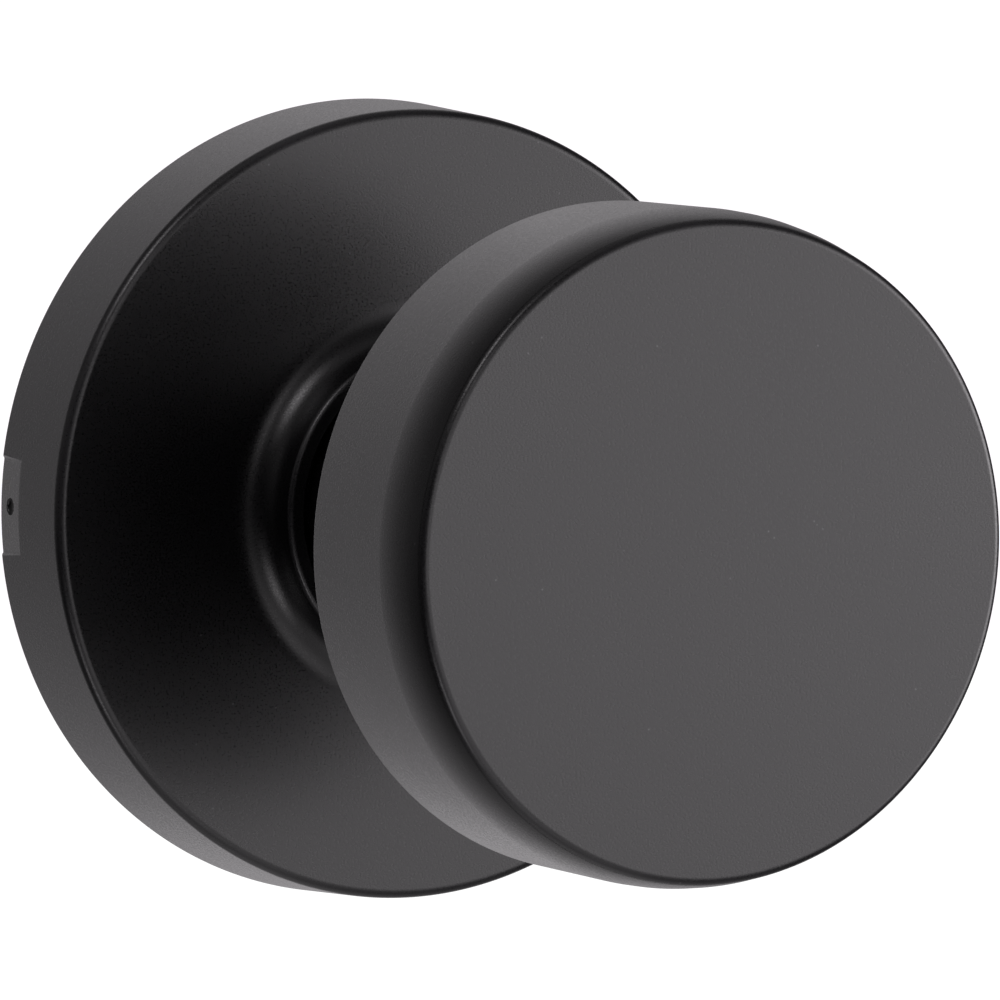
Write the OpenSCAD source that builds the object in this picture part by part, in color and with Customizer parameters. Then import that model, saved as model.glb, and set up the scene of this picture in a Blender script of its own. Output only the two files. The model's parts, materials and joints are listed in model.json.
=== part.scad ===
// Passage door knob, one half of a set: a round drum knob on a neck, a round clip-on rose
// and the sprung chassis behind it. The origin is where the knob's axis meets the door face.
// Each sub-part is drawn with z running outward from the door and y up, and on_door() turns
// that so that the knob points along -Y and +Z is up.

/* [Rose] */
// Radius of the rose where it meets the door
rose_r = 33.3; // [33:0.1:45]
// How much the rose's side leans in from the door to its face
rose_taper = 0.6; // [0:0.05:1]
// Thickness of the rose, door to face
rose_t = 10; // [8.6:0.1:14]
// Wall of the rose
rose_wall = 1; // [0.6:0.1:1.2]
// Radius of the rose's front edge
rose_edge_r = 0.8; // [0.3:0.1:0.9]
// Height of the collar that stands on the rose's face
collar_h = 3.8; // [2:0.1:8]
// Wall of the collar at its top
collar_wall = 1.4; // [1:0.1:3]
// Radius of the collar's top edge
collar_edge_r = 0.5; // [0.2:0.1:0.9]
// Thickness of the nylon ring inside the rose
insert_t = 1.2; // [0.8:0.1:2]
// Width of the pry notch in the rose's rear rim
notch_w = 7.8; // [4:0.2:14]
// Height of the pry notch
notch_h = 3.3; // [2.6:0.1:6]
// Depth of the pry notch
notch_depth = 0.2; // [0.1:0.05:0.4]
// How far above nine o'clock the pry notch sits, in degrees
notch_turn = 1.1; // [0:0.1:20]
// Radius of the round dimple in the middle of the notch
dimple_r = 0.7; // [0.3:0.05:1]
// Distance of the dimple's centre from the door
dimple_at = 1.7; // [1:0.1:2.2]
// Depth of the dimple below the notch's floor
dimple_depth = 0.3; // [0.1:0.05:0.4]

/* [Knob] */
// Radius of the drum knob
knob_r = 26.7; // [25.5:0.1:36]
// Thickness of the drum knob
knob_t = 16.8; // [10:0.1:30]
// Distance from the door to the knob's rear rim
knob_stand = 43.2; // [36:0.1:60]
// Wall of the knob's shell
knob_wall = 1.2; // [0.8:0.1:2]
// Radius of the knob's front edge
knob_edge_r = 0.7; // [0.4:0.1:1.2]
// Length of the soft curve that leads into the front edge
knob_edge_run = 5; // [1:0.1:6]
// How far that soft curve turns, in degrees
knob_edge_turn = 16; // [4:1:30]
// Radius of the knob's rear edge
knob_rear_r = 0.3; // [0.1:0.05:0.6]
// How far the shell's rear lip reaches in over the back plate
knob_lip = 2.2; // [1:0.1:3]
// Thickness of the rear lip
knob_lip_t = 0.8; // [0.5:0.1:1.5]
// Thickness of the back plate
back_t = 1.4; // [0.8:0.1:2.5]
// Sheet thickness of the stiffening cup inside the knob
stiffener_t = 0.8; // [0.5:0.1:1.5]

/* [Neck] */
// Radius of the neck
neck_r = 11.3; // [11:0.1:14]
// Gap between the neck and the rose's collar
neck_gap = 1; // [0.4:0.1:2]
// Width of the flange that holds the neck inside the knob
neck_flange = 4.7; // [4.4:0.1:7]
// Thickness of that flange
neck_flange_t = 1.4; // [1:0.1:3]
// Length of the keyed insert that the tube drives
drive_l = 7; // [4:0.5:12]
// Wall of the keyed insert
drive_wall = 2.3; // [1.5:0.1:2.5]
// Distance of the catch from the collar's top
catch_stand = 12.3; // [6:0.1:14]
// Radius of the catch's pin
catch_r = 1.6; // [1:0.1:2]

/* [Tube and spindle] */
// Outer radius of the drive tube
tube_r = 7; // [6.6:0.1:7.2]
// Wall of the drive tube
tube_wall = 1.4; // [1:0.1:1.8]
// Radius of the half-round spindle
spindle_r = 4; // [3:0.1:4.4]
// How far the spindle's flat lies above its centre
spindle_flat = 1; // [0:0.1:2]
// Reach of the spindle behind the door face
spindle_reach = 46; // [30:1:70]
// Radius of the pin across the spindle
cross_pin_r = 1.25; // [0.8:0.05:1.3]

/* [Chassis] */
// Thickness of the chassis plate
plate_t = 1.6; // [1.2:0.1:2]
// Sheet thickness of the spring cage
cage_t = 1; // [0.6:0.1:1.2]
// Room round the spring inside the cage
cage_room = 2.8; // [1:0.1:3]
// Wire radius of the return spring
return_wire_r = 0.7; // [0.4:0.05:0.8]
// Free turns of the return spring
return_turns = 2; // [1:1:2]
// How far the knob turns either way before it meets a stop, in degrees
turn_limit = 70; // [30:1:75]
// Wall of the two bushes that the tube turns in
bush_wall = 1.45; // [1:0.05:1.6]
// Thickness of the snap clips' sheet
clip_t = 0.6; // [0.4:0.1:0.8]
// Arc that each snap clip covers, in degrees
clip_arc = 14; // [8:1:24]

/* [Door] */
// Diameter of the cross bore in the door
door_bore = 54; // [50:0.1:56]
// Spacing of the two threaded posts
post_spacing = 38.1; // [36:0.1:42]
// Reach of the posts behind the door face
post_reach = 24; // [15:1:40]
// Radius of the posts
post_r = 3.5; // [3:0.1:4]
// Radius of the thread's core in each post
thread_r = 1.75; // [1.2:0.05:2.2]
// Depth of the thread in each post
thread_depth = 18; // [8:1:30]

/* [Hidden] */
$fn = 96;

// Clearances: between pieces fixed together, between a shaft and its bush, and between
// pieces that slide past one another
fit_gap = 0.02;
run_gap = 0.05;
slide_gap = 0.3;
// How far a cutting solid runs past the face that it cuts
past = 1;
// Colours
matte_black = [0.09, 0.09, 0.1];
steel = [0.62, 0.63, 0.65];
zinc = [0.75, 0.73, 0.66];
nylon = [0.9, 0.9, 0.86];
bronze = [0.62, 0.47, 0.25];

// Rose, from its outside inward
rose_in_r = rose_r - rose_taper - rose_wall;
rose_in_z = rose_t - rose_wall;
insert_in_r = rose_in_r - insert_t;
insert_lift = 1;
collar_z = rose_t + collar_h;
collar_bore = neck_r + neck_gap;
collar_r = collar_bore + collar_wall;
collar_fillet = collar_h - collar_edge_r;

// Knob, from its rear rim forward
knob_face_z = knob_stand + knob_t;
knob_in_r = knob_r - knob_wall;
back_z = knob_stand + knob_lip_t;
flange_z = back_z + back_t;
flange_end_z = flange_z + neck_flange_t;
flange_r = neck_r + neck_flange;
stiffener_r = flange_r + 4;
stiffener_flange_r = (stiffener_r + knob_in_r) / 2 + 1.5;
shank_rivet_r = 1;
shank_rivet_head_r = 1.8;
shank_rivet_head_t = 0.6;
shank_rivet_at = (neck_r + flange_r) / 2;

// Neck and what is keyed in it
shank_end_z = rose_t + 0.7;
shank_bore = tube_r + run_gap;
tube_end_z = knob_stand - 3.4;
tube_flat = tube_r - 0.6;
drive_end_z = tube_end_z - 1;
drive_z = drive_end_z - drive_l;
drive_r = tube_r + drive_wall;
key_w = 2.4;
key_h = 1;
catch_z = collar_z + catch_stand;
catch_tip_r = neck_r - 0.4;
catch_head_r = catch_r + 0.7;
catch_head_t = 1;
tube_in_r = tube_r - tube_wall;
catch_head_at = sqrt(pow(tube_in_r, 2) - pow(catch_head_r, 2)) - 0.1;
catch_spigot_r = 0.9;
catch_spigot_l = 0.8;
catch_wire_r = 0.2;
catch_coil_r = catch_spigot_r + 2 * catch_wire_r + 0.1;
catch_turns = 6;

// Hub, from the plate forward
bush_r = tube_r + run_gap + bush_wall;
bush_flange_t = 0.6;
bush_rear = 0.3;
hub_flange_r = bush_r + 1.5;
driver_z = plate_t + bush_flange_t + 0.1;
driver_t = 1.2;
driver_r = tube_r + 2.2;
front_flange_r = bush_r + 0.6;
lug_in_r = front_flange_r + slide_gap;
lug_r = lug_in_r + 2.4;
tab_in_r = lug_r + 0.6;
tab_r = tab_in_r + 2;
tab_half_w = 2;
cover_z = rose_in_z - 0.2 - cage_t;
lug_end_z = cover_z - 0.1;
return_r = tab_r + 0.9 + return_wire_r;
return_z = plate_t + 0.2 + return_wire_r;
return_end_z = cover_z - 0.1 - return_wire_r;
leg_x = tab_half_w + 0.15 + return_wire_r;
leg_end_y = hub_flange_r + 0.2;
cage_in_r = return_r + return_wire_r + cage_room;
cage_r = cage_in_r + cage_t;
stop_arm_half_w = 2.8;
stop_arm_end = tab_r - 0.8;
stop_w = 2.4;
stop_h = 2;
stop_at = turn_limit + 0.5 + asin(stop_arm_half_w / lug_r) + asin(stop_w / 2 / lug_r);

// Behind the plate
washer_t = 0.5;
wave_h = 0.4;
wave_t = 0.25;
wave_count = 3;
washer_z = -bush_rear - 0.1;
wave_z = washer_z - washer_t;
ring_z = wave_z - wave_h - wave_t - 0.05;
ring_t = 0.8;
groove_depth = 0.7;
tube_rear_z = ring_z - ring_t - 0.6;
ring_mouth = 70;

// Spindle's seat in the tube
sleeve_r = tube_in_r - fit_gap;
sleeve_z = tube_rear_z + 0.4;
sleeve_end_z = cover_z + 2;
spindle_end_z = sleeve_end_z - 0.2;
pin_z = (driver_z + driver_t + cover_z) / 2;
pin_y = (spindle_flat - spindle_r) / 2;
pin_half = sqrt(pow(tube_r - 0.1, 2) - pow(pin_y, 2));

// Plate and what is fixed to it
plate_r = insert_in_r - 0.35;
clip_room = 4;
cage_flange_r = plate_r - clip_room;
cage_rivet_at = (cage_r + cage_flange_r) / 2;
rivet_r = 1.2;
rivet_head_r = 2;
rivet_head_t = 0.7;
clip_foot_r = cage_flange_r + 0.4;
clip_tip_r = insert_in_r - 0.1;
clip_leaf_r = clip_tip_r - 0.7;
clip_h = cover_z - plate_t - 0.8;
clip_rivet_r = 0.8;
clip_rivet_head_r = 1.15;
clip_rivet_at = (clip_foot_r + clip_leaf_r - clip_t) / 2;
post_head_r = post_r + 1;
post_head_t = plate_t / 2;
bore_tab_r = door_bore / 2 - 0.7;
bore_tab_w = 8;
bore_tab_l = 5;

// Turns a sub-part from the door's own directions to the model's
module on_door() {
    rotate([90, 0, 0]) children();
}

// Ring or disc about the axis, from z0 to z1
module ring(outer, inner, z0, z1) {
    difference() {
        translate([0, 0, z0]) cylinder(r = outer, h = z1 - z0);
        translate([0, 0, z0 - past]) cylinder(r = inner, h = z1 - z0 + 2 * past);
    }
}

// Piece of a ring, centred on the angle mid and covering the given arc
module sector(inner, outer, z0, z1, mid, arc) {
    rotate([0, 0, mid - arc / 2])
        rotate_extrude(angle = arc)
            translate([inner, z0])
                square([outer - inner, z1 - z0]);
}

// Straight hole or pin along the axis, at a radius and an angle
module upright(at, angle, radius, z0, z1) {
    rotate([0, 0, angle])
        translate([at, 0, z0])
            cylinder(r = radius, h = z1 - z0);
}

// Points of an arc about c, both ends included
function arc(c, radius, from, to, steps = 8) =
    [for (i = [0 : steps]) c + radius * [
        cos(from + (to - from) * i / steps),
        sin(from + (to - from) * i / steps)
    ]];

// Points of a quarter-like bend from a to b that leans on the corner
function bend(a, corner, b, steps = 5) =
    [for (i = [0 : steps]) let (t = i / steps)
        (1 - t) * (1 - t) * a + 2 * t * (1 - t) * corner + t * t * b];

// Ring of points about point i of a wire's path
function wire_ring(path, i, radius, sides) =
    let (
        along = path[min(i + 1, len(path) - 1)] - path[max(i - 1, 0)],
        side = cross(along, [0, 0, 1]) / norm(cross(along, [0, 0, 1])),
        up = cross(side, along) / norm(along)
    )
    [for (k = [0 : sides - 1])
        path[i] + radius * (cos(360 * k / sides) * side + sin(360 * k / sides) * up)];

// Round wire along a path that never runs straight up
module wire(path, radius, sides = 8) {
    last = len(path) - 1;
    polyhedron(
        points = [for (i = [0 : last]) each wire_ring(path, i, radius, sides)],
        faces = concat(
            [[for (k = [0 : sides - 1]) k]],
            [for (i = [0 : last - 1], k = [0 : sides - 1]) [
                i * sides + k,
                (i + 1) * sides + k,
                (i + 1) * sides + (k + 1) % sides,
                i * sides + (k + 1) % sides
            ]],
            [[for (k = [sides - 1 : -1 : 0]) last * sides + k]]
        )
    );
}

// Knob

module knob_shell() {
    // The side leaves the straight by a wide arc, then a tight one turns it on to the face
    soft_r = knob_edge_run / sin(knob_edge_turn);
    tight_c = [
        knob_r - soft_r * (1 - cos(knob_edge_turn)) - knob_edge_r * cos(knob_edge_turn),
        knob_face_z - knob_edge_r
    ];
    soft_end_z = tight_c[1] + knob_edge_r * sin(knob_edge_turn);
    soft_c = [knob_r - soft_r, soft_end_z - knob_edge_run];
    inner_edge_r = 0.6;
    inner_c = [knob_in_r - inner_edge_r, knob_face_z - knob_wall - inner_edge_r];
    color(matte_black) on_door() rotate_extrude() polygon(concat(
        [[knob_r - knob_lip, knob_stand]],
        arc([knob_r - knob_rear_r, knob_stand + knob_rear_r], knob_rear_r, -90, 0, 4),
        arc(soft_c, soft_r, 0, knob_edge_turn, 6),
        arc(tight_c, knob_edge_r, knob_edge_turn, 90),
        [[0, knob_face_z], [0, knob_face_z - knob_wall]],
        arc(inner_c, inner_edge_r, 90, 0, 4),
        [[knob_in_r, back_z], [knob_r - knob_lip, back_z]]
    ));
}

module knob_back_plate() {
    color(matte_black) on_door() difference() {
        ring(knob_in_r - fit_gap, neck_r + fit_gap, back_z, flange_z);
        for (i = [0 : 3])
            upright(shank_rivet_at, 45 + 90 * i, shank_rivet_r + fit_gap, back_z - past, flange_z + past);
    }
}

module knob_stiffener() {
    top_z = knob_face_z - knob_wall;
    color(steel) on_door() rotate_extrude() polygon([
        [stiffener_r - stiffener_t, flange_z], [stiffener_flange_r, flange_z],
        [stiffener_flange_r, flange_z + stiffener_t], [stiffener_r, flange_z + stiffener_t],
        [stiffener_r, top_z], [0, top_z],
        [0, top_z - stiffener_t], [stiffener_r - stiffener_t, top_z - stiffener_t]
    ]);
}

module knob_shank() {
    chamfer = 0.5;
    seat_r = drive_r + fit_gap;
    color(matte_black) on_door() difference() {
        rotate_extrude() polygon([
            [shank_bore, shank_end_z], [neck_r - chamfer, shank_end_z],
            [neck_r, shank_end_z + chamfer], [neck_r, flange_end_z],
            [seat_r, flange_end_z], [seat_r, drive_z], [shank_bore, drive_z]
        ]);
        // Keyway for the insert
        translate([-key_w / 2 - fit_gap, 0, drive_z])
            cube([key_w + 2 * fit_gap, drive_r + key_h + fit_gap, flange_end_z - drive_z + past]);
        // Hole that shows the catch on the underside
        translate([0, 0, catch_z]) rotate([90, 0, 0])
            cylinder(r = catch_r + run_gap, h = neck_r + past);
    }
}

module shank_flange() {
    color(steel) on_door() difference() {
        ring(flange_r, neck_r + fit_gap, flange_z, flange_end_z);
        for (i = [0 : 3])
            upright(shank_rivet_at, 45 + 90 * i, shank_rivet_r + fit_gap, flange_z - past, flange_end_z + past);
    }
}

module shank_rivets() {
    color(matte_black) on_door() for (i = [0 : 3]) {
        upright(shank_rivet_at, 45 + 90 * i, shank_rivet_r, back_z - 0.1, flange_end_z + 0.1);
        upright(shank_rivet_at, 45 + 90 * i, shank_rivet_head_r, back_z - shank_rivet_head_t, back_z);
        upright(shank_rivet_at, 45 + 90 * i, shank_rivet_head_r, flange_end_z,
            flange_end_z + shank_rivet_head_t);
    }
}

module drive_insert() {
    color(zinc) on_door() difference() {
        union() {
            translate([0, 0, drive_z]) cylinder(r = drive_r, h = drive_l);
            translate([-key_w / 2, drive_r - 1, drive_z]) cube([key_w, 1 + key_h, drive_l]);
        }
        // Bore with the tube's two flats
        intersection() {
            translate([0, 0, drive_z - past]) cylinder(r = shank_bore, h = drive_l + 2 * past);
            translate([-tube_flat - run_gap, -tube_r - past, drive_z - past])
                cube([2 * (tube_flat + run_gap), 2 * (tube_r + past), drive_l + 2 * past]);
        }
    }
}

// Tube and spindle

// Half-round bar from z0 to z1, larger all round by grow
module half_round(grow, z0, z1) {
    intersection() {
        translate([0, 0, z0]) cylinder(r = spindle_r + grow, h = z1 - z0);
        translate([-spindle_r - past, -spindle_r - past, z0])
            cube([2 * (spindle_r + past), spindle_r + past + spindle_flat + grow, z1 - z0]);
    }
}

// Cross pin, larger all round by grow
module cross_pin(grow, half) {
    translate([-half, pin_y, pin_z]) rotate([0, 90, 0]) cylinder(r = cross_pin_r + grow, h = 2 * half);
}

module drive_tube() {
    color(steel) on_door() difference() {
        ring(tube_r, tube_in_r, tube_rear_z, tube_end_z);
        // Groove for the retaining ring
        ring(tube_r + past, tube_r - groove_depth, ring_z - ring_t - fit_gap, ring_z + fit_gap);
        // Flats for the insert
        for (side = [-1, 1])
            translate([side * (tube_flat + tube_r / 2) - tube_r / 2, -tube_r, drive_z - past])
                cube([tube_r, 2 * tube_r, tube_end_z - drive_z + 2 * past]);
        // Hole for the catch
        translate([0, 0, catch_z]) rotate([90, 0, 0])
            cylinder(r = catch_r + run_gap, h = tube_r + past);
        cross_pin(fit_gap, tube_r + past);
    }
}

module spindle() {
    chamfer = 0.8;
    color(steel) on_door() difference() {
        intersection() {
            half_round(0, -spindle_reach, spindle_end_z);
            rotate_extrude() polygon([
                [0, -spindle_reach], [spindle_r - chamfer, -spindle_reach],
                [spindle_r + past, -spindle_reach + chamfer + past],
                [spindle_r + past, spindle_end_z + past], [0, spindle_end_z + past]
            ]);
        }
        cross_pin(fit_gap, tube_r);
    }
}

module spindle_sleeve() {
    color(zinc) on_door() difference() {
        translate([0, 0, sleeve_z]) cylinder(r = sleeve_r, h = sleeve_end_z - sleeve_z);
        half_round(fit_gap, sleeve_z - past, sleeve_end_z + past);
        cross_pin(fit_gap, tube_r);
    }
}

module spindle_pin() {
    color(steel) on_door() cross_pin(0, pin_half);
}

module spring_driver() {
    color(steel) on_door() difference() {
        union() {
            translate([0, 0, driver_z]) cylinder(r = driver_r, h = driver_t);
            // Arm with the lug that pushes the spring's legs
            translate([tab_half_w, 0, 0]) rotate([0, -90, 0])
                linear_extrude(height = 2 * tab_half_w) polygon([
                    [driver_z, tube_r], [driver_z, lug_r], [lug_end_z, lug_r],
                    [lug_end_z, lug_in_r], [driver_z + driver_t, lug_in_r], [driver_z + driver_t, tube_r]
                ]);
            // Arm that meets the plate's two stops
            translate([-stop_arm_half_w, -stop_arm_end, driver_z])
                cube([2 * stop_arm_half_w, stop_arm_end - tube_r, driver_t]);
        }
        translate([0, 0, driver_z - past]) cylinder(r = tube_r + fit_gap, h = driver_t + 2 * past);
    }
}

module retaining_ring() {
    groove_r = tube_r - groove_depth + fit_gap;
    color(steel) on_door() difference() {
        ring(bush_r - 0.1, groove_r, ring_z - ring_t, ring_z);
        sector(groove_r - past, bush_r + past, ring_z - ring_t - past, ring_z + past, 270, ring_mouth);
    }
}

module thrust_washer() {
    color(bronze) on_door() ring(bush_r, tube_r + run_gap, washer_z - washer_t, washer_z);
}

module wave_washer() {
    // Height of the wave at an angle, from zero to wave_h
    function wave(a) = wave_h * (1 - cos(wave_count * a)) / 2;
    inner = tube_r + run_gap;
    outer = bush_r - 0.1;
    steps = 48;
    corners = [
        for (i = [0 : steps - 1])
            let (a = 360 * i / steps, z = wave_z - wave(a))
            each [
                [inner * cos(a), inner * sin(a), z - wave_t],
                [outer * cos(a), outer * sin(a), z - wave_t],
                [outer * cos(a), outer * sin(a), z],
                [inner * cos(a), inner * sin(a), z]
            ]
    ];
    color(steel) on_door() polyhedron(
        points = corners,
        faces = [for (i = [0 : steps - 1], k = [0 : 3]) let (j = (i + 1) % steps, m = (k + 1) % 4)
            each [[4 * i + k, 4 * j + k, 4 * i + m], [4 * i + m, 4 * j + k, 4 * j + m]]]
    );
}

// Catch

module knob_catch() {
    color(steel) on_door() translate([0, 0, catch_z]) rotate([90, 0, 0]) {
        translate([0, 0, catch_head_at]) cylinder(r = catch_r, h = catch_tip_r - catch_head_at);
        translate([0, 0, catch_head_at - catch_head_t]) cylinder(r = catch_head_r, h = catch_head_t);
        translate([0, 0, catch_head_at - catch_head_t - catch_spigot_l])
            cylinder(r = catch_spigot_r, h = catch_spigot_l + catch_head_t / 2);
    }
}

module catch_spring() {
    seat = catch_head_at - catch_head_t - catch_wire_r;
    far = -sqrt(pow(tube_in_r, 2) - pow(catch_coil_r + catch_wire_r, 2)) + catch_wire_r + 0.05;
    steps = 12 * catch_turns;
    path = [for (i = [0 : steps]) let (a = 360 * catch_turns * i / steps)
        [catch_coil_r * cos(a), catch_coil_r * sin(a), far + (seat - far) * i / steps]];
    color(steel) on_door() translate([0, 0, catch_z]) rotate([90, 0, 0]) wire(path, catch_wire_r, 6);
}

// Rose

module rose() {
    top_r = rose_r - rose_taper;
    collar_c = [collar_r - collar_edge_r, collar_z - collar_edge_r];
    fillet_c = [collar_r + collar_fillet, rose_t + collar_fillet];
    color(matte_black) on_door() difference() {
        rotate_extrude() polygon(concat(
            [[rose_in_r, 0], [rose_r, 0]],
            arc([top_r - rose_edge_r, rose_t - rose_edge_r], rose_edge_r, 0, 90),
            arc(fillet_c, collar_fillet, 270, 180, 10),
            arc(collar_c, collar_edge_r, 0, 90, 5),
            [[collar_bore, collar_z], [collar_bore, rose_in_z], [rose_in_r, rose_in_z]]
        ));
        rotate([0, 0, -notch_turn]) {
            // Shallow recess of the pry notch
            difference() {
                translate([-rose_r - past, -notch_w / 2, -past])
                    cube([rose_r - rose_in_r + past, notch_w, notch_h + past]);
                translate([0, 0, -2 * past]) cylinder(r = rose_r - notch_depth, h = notch_h + 3 * past);
            }
            // Round dimple in its floor
            translate([-rose_r - past, 0, dimple_at])
                rotate([0, 90, 0]) cylinder(r = dimple_r, h = past + notch_depth + dimple_depth);
        }
    }
}

module rose_insert() {
    color(nylon) on_door() ring(rose_in_r - fit_gap, insert_in_r, insert_lift, rose_in_z - 1);
}

// Chassis

module chassis_plate() {
    window_w = bore_tab_w + 2;
    window_l = bore_tab_l + plate_t;
    root = 1;
    color(steel) on_door() difference() {
        union() {
            difference() {
                ring(plate_r, bush_r + fit_gap, 0, plate_t);
                // Windows that the locating tabs are bent out of
                for (up = [90, 270]) rotate([0, 0, up])
                    translate([bore_tab_r - window_l, -window_w / 2, -past])
                        cube([window_l, window_w, plate_t + 2 * past]);
            }
            for (up = [90, 270]) rotate([0, 0, up]) translate([bore_tab_r, bore_tab_w / 2, 0])
                rotate([90, 0, 0]) linear_extrude(height = bore_tab_w) polygon([
                    [-plate_t, -bore_tab_l], [0, -bore_tab_l], [0, 0], [root, 0], [root, plate_t],
                    [-plate_t, plate_t]
                ]);
            // Stops for the driver's arm
            for (side = [-1, 1]) rotate([0, 0, 270 + side * stop_at])
                translate([lug_r, -stop_w / 2, plate_t / 2])
                    cube([tab_r - lug_r, stop_w, plate_t / 2 + stop_h]);
        }
        for (side = [0, 180]) {
            upright(post_spacing / 2, side, post_r + fit_gap, -past, plate_t + past);
            upright(post_spacing / 2, side, post_head_r + fit_gap, plate_t - post_head_t, plate_t + past);
        }
        for (i = [0 : 2]) {
            upright(cage_rivet_at, 45 + 120 * i, rivet_r + fit_gap, -past, plate_t + past);
            upright(clip_rivet_at, 30 + 120 * i, clip_rivet_r + fit_gap, -past, plate_t + past);
        }
    }
}

module mounting_posts() {
    color(steel) on_door() for (side = [0, 180]) rotate([0, 0, side]) translate([post_spacing / 2, 0, 0])
        difference() {
            union() {
                translate([0, 0, -post_reach]) cylinder(r = post_r, h = post_reach + plate_t - post_head_t / 2);
                translate([0, 0, plate_t - post_head_t]) cylinder(r = post_head_r, h = post_head_t);
            }
            translate([0, 0, -post_reach - past]) cylinder(r = thread_r, h = thread_depth + past);
        }
}

module spring_cage() {
    color(steel) on_door() difference() {
        union() {
            rotate_extrude() polygon([
                [cage_in_r, plate_t], [cage_flange_r, plate_t],
                [cage_flange_r, plate_t + cage_t], [cage_r, plate_t + cage_t],
                [cage_r, cover_z + cage_t], [bush_r + fit_gap, cover_z + cage_t],
                [bush_r + fit_gap, cover_z], [cage_in_r, cover_z]
            ]);
            // Fixed tab that the spring's legs rest on
            translate([-tab_half_w, tab_in_r, driver_z])
                cube([2 * tab_half_w, tab_r - tab_in_r, cover_z + cage_t / 2 - driver_z]);
        }
        for (i = [0 : 2])
            upright(cage_rivet_at, 45 + 120 * i, rivet_r + fit_gap, plate_t - past, plate_t + cage_t + past);
    }
}

module cage_rivets() {
    front_z = plate_t + cage_t;
    color(steel) on_door() for (i = [0 : 2]) {
        upright(cage_rivet_at, 45 + 120 * i, rivet_r, 0, front_z + 0.1);
        upright(cage_rivet_at, 45 + 120 * i, rivet_head_r, front_z, front_z + rivet_head_t);
    }
}

module return_spring() {
    // Both legs point inward, one on each side of the fixed tab and the driver's lug
    lean = asin(leg_x / return_r);
    turn_in = 8;
    first = 90 + lean + turn_in;
    last = 90 - lean - turn_in + 360 * return_turns;
    steps = 24 * return_turns;
    corner_y = return_r * cos(lean);
    coil = [for (i = [0 : steps]) let (a = first + (last - first) * i / steps)
        [return_r * cos(a), return_r * sin(a), return_z + (return_end_z - return_z) * i / steps]];
    path = concat(
        [[-leg_x, leg_end_y, return_z]],
        bend([-leg_x, corner_y - 2, return_z], [-leg_x, corner_y, return_z], coil[0], 4),
        [for (i = [1 : steps - 1]) coil[i]],
        bend(coil[steps], [leg_x, corner_y, return_end_z], [leg_x, corner_y - 2, return_end_z], 4),
        [[leg_x, leg_end_y, return_end_z]]
    );
    color(steel) on_door() wire(path, return_wire_r);
}

module hub_bush() {
    color(bronze) on_door() {
        ring(bush_r, tube_r + run_gap, -bush_rear, plate_t + bush_flange_t);
        ring(hub_flange_r, bush_r - 0.2, plate_t, plate_t + bush_flange_t);
    }
}

module front_bush() {
    color(nylon) on_door() {
        ring(bush_r, tube_r + run_gap, cover_z - bush_flange_t, cover_z + cage_t);
        ring(front_flange_r, bush_r - 0.2, cover_z - bush_flange_t, cover_z);
    }
}

module snap_clips() {
    leaf_z = plate_t + clip_h;
    mid_z = (plate_t + leaf_z) / 2;
    color(steel) on_door() difference() {
        for (i = [0 : 2])
            rotate([0, 0, 30 + 120 * i - clip_arc / 2]) rotate_extrude(angle = clip_arc) polygon([
                [clip_foot_r, plate_t], [clip_leaf_r, plate_t], [clip_leaf_r, mid_z - 1],
                [clip_tip_r, mid_z + 0.3], [clip_leaf_r, leaf_z - 0.6], [clip_leaf_r - 0.3, leaf_z],
                [clip_leaf_r - clip_t - 0.3, leaf_z], [clip_leaf_r - clip_t, leaf_z - 0.8],
                [clip_tip_r - clip_t, mid_z + 0.3], [clip_leaf_r - clip_t, mid_z - 0.8],
                [clip_leaf_r - clip_t, plate_t + clip_t], [clip_foot_r, plate_t + clip_t]
            ]);
        for (i = [0 : 2])
            upright(clip_rivet_at, 30 + 120 * i, clip_rivet_r + fit_gap, plate_t - past, plate_t + clip_t + past);
    }
}

module clip_rivets() {
    front_z = plate_t + clip_t;
    color(steel) on_door() for (i = [0 : 2]) {
        upright(clip_rivet_at, 30 + 120 * i, clip_rivet_r, 0, front_z + 0.1);
        upright(clip_rivet_at, 30 + 120 * i, clip_rivet_head_r, front_z, front_z + 0.5);
    }
}

knob_shell();
knob_back_plate();
knob_stiffener();
knob_shank();
shank_flange();
shank_rivets();
drive_insert();
drive_tube();
spindle();
spindle_sleeve();
spindle_pin();
spring_driver();
retaining_ring();
thrust_washer();
wave_washer();
catch_spring();
knob_catch();
rose();
rose_insert();
chassis_plate();
mounting_posts();
spring_cage();
cage_rivets();
return_spring();
hub_bush();
front_bush();
snap_clips();
clip_rivets();
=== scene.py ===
import json
import math
import bmesh
import bpy
import numpy as np
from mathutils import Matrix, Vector


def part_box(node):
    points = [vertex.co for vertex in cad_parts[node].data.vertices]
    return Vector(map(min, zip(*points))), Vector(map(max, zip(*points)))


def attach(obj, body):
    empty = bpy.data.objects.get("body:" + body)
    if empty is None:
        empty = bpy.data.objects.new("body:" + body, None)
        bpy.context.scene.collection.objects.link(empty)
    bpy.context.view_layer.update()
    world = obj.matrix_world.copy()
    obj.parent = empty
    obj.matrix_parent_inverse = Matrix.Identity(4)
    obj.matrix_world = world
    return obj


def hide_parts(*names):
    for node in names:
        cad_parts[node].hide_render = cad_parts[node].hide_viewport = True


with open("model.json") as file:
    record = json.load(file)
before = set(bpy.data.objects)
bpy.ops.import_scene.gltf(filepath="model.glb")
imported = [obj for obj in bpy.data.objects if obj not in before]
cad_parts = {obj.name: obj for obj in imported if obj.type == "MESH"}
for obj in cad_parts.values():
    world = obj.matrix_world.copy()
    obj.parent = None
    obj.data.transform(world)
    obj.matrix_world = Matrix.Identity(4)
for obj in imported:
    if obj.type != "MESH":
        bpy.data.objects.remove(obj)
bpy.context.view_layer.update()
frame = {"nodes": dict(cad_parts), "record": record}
mm = 0.001

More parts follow.
